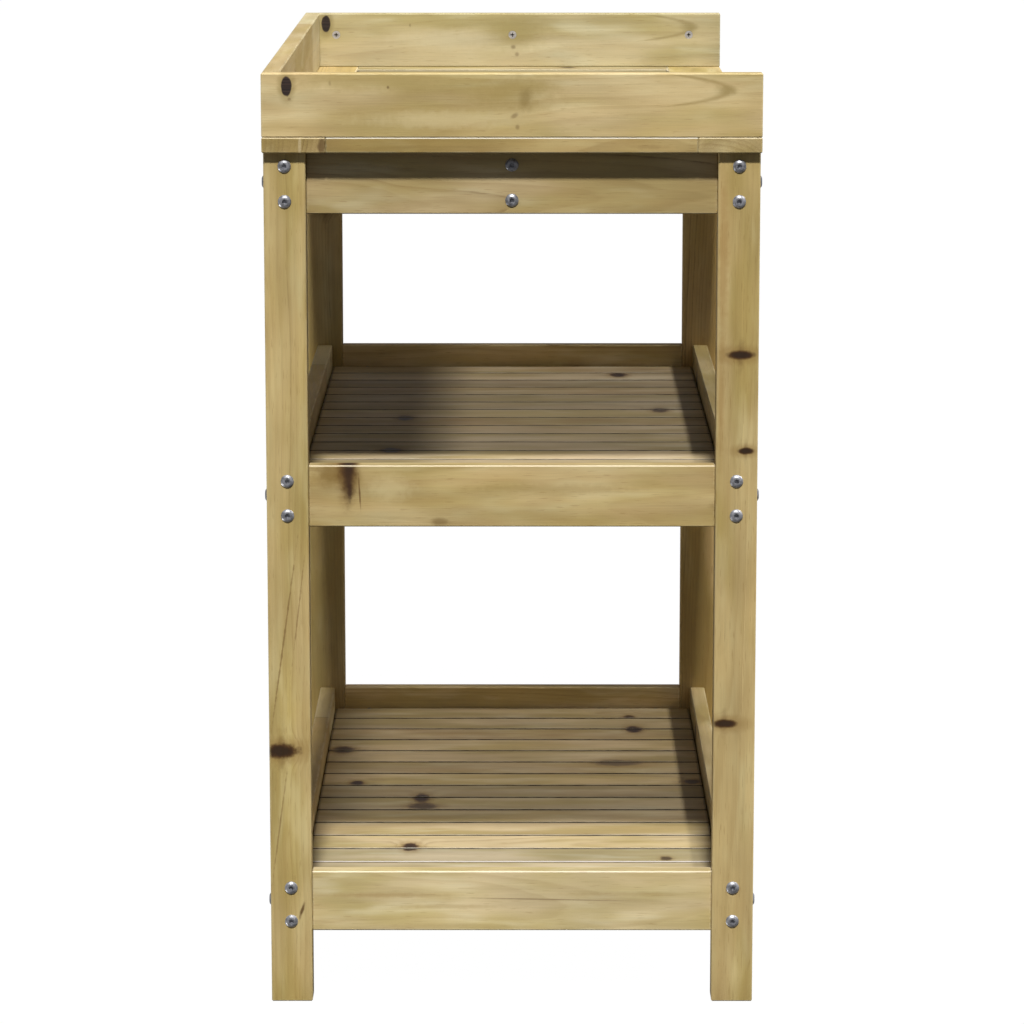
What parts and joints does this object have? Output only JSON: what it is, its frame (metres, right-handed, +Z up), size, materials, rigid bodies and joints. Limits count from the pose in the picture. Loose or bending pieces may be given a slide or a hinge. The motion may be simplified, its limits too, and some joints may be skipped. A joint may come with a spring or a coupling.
{
  "type": "potting bench",
  "caption": "Free-standing wooden potting bench: slatted worktop with raised edge boards and an open front, slatted shelves below, bolted frame and tool hooks on one end.",
  "frame": {"origin": "on the floor, at the centre of the rectangle of the four legs", "axes": "+Z up; +X along the length towards the end with the tool hooks; +Y towards the back, which has the back edge board; the open front faces -Y"},
  "size_m": [0.8556, 0.4528, 0.865],
  "materials": {
    "leg_wood": "planed impregnated pine, satin, knots and straight grain along the leg",
    "rail_wood": "planed impregnated pine, satin, grain along the rail",
    "slat_wood": "planed impregnated pine slats, satin",
    "worktop_wood": "planed impregnated pine, satin",
    "edge_board_wood": "planed impregnated pine, satin, visible cathedral grain and knots",
    "batten_wood": "sawn impregnated pine, matt",
    "zinc_fasteners": "bright zinc plated",
    "hook_metal": "zinc plated, satin"
  },
  "bodies": {
    "root": {"back_apron": "rail_wood", "back_edge_board": "edge_board_wood", "barrel_nuts": "zinc_fasteners", "centre_stringer": "rail_wood", "deck_battens": "batten_wood", "frame_bolts": "zinc_fasteners", "front_apron": "rail_wood", "left_apron": "rail_wood", "left_back_leg": "leg_wood", "left_edge_board": "edge_board_wood", "left_front_leg": "leg_wood", "lower_back_rail": "rail_wood", "lower_front_rail": "rail_wood", "lower_left_rail": "rail_wood", "lower_right_rail": "rail_wood", "lower_shelf_slat_01": "slat_wood", "lower_shelf_slat_02": "slat_wood", "lower_shelf_slat_03": "slat_wood", "lower_shelf_slat_04": "slat_wood", "lower_shelf_slat_05": "slat_wood", "lower_shelf_slat_06": "slat_wood", "lower_shelf_slat_07": "slat_wood", "lower_shelf_slat_08": "slat_wood", "lower_shelf_slat_09": "slat_wood", "lower_shelf_slat_10": "slat_wood", "lower_shelf_slat_11": "slat_wood", "lower_shelf_slat_12": "slat_wood", "lower_shelf_slat_13": "slat_wood", "lower_shelf_slat_14": "slat_wood", "lower_shelf_slat_15": "slat_wood", "middle_back_rail": "rail_wood", "middle_front_rail": "rail_wood", "middle_left_rail": "rail_wood", "middle_right_rail": "rail_wood", "middle_shelf_slat_01": "slat_wood", "middle_shelf_slat_02": "slat_wood", "middle_shelf_slat_03": "slat_wood", "middle_shelf_slat_04": "slat_wood", "middle_shelf_slat_05": "slat_wood", "middle_shelf_slat_06": "slat_wood", "middle_shelf_slat_07": "slat_wood", "middle_shelf_slat_08": "slat_wood", "middle_shelf_slat_09": "slat_wood", "middle_shelf_slat_10": "slat_wood", "middle_shelf_slat_11": "slat_wood", "middle_shelf_slat_12": "slat_wood", "middle_shelf_slat_13": "slat_wood", "middle_shelf_slat_14": "slat_wood", "middle_shelf_slat_15": "slat_wood", "right_apron": "rail_wood", "right_back_leg": "leg_wood", "right_edge_board": "edge_board_wood", "right_front_leg": "leg_wood", "tool_hooks": "hook_metal", "wood_screws": "zinc_fasteners", "worktop_back_board": "worktop_wood", "worktop_front_board": "worktop_wood", "worktop_left_board": "worktop_wood", "worktop_right_board": "worktop_wood", "worktop_slats": "slat_wood"}
  },
  "joints": []
}
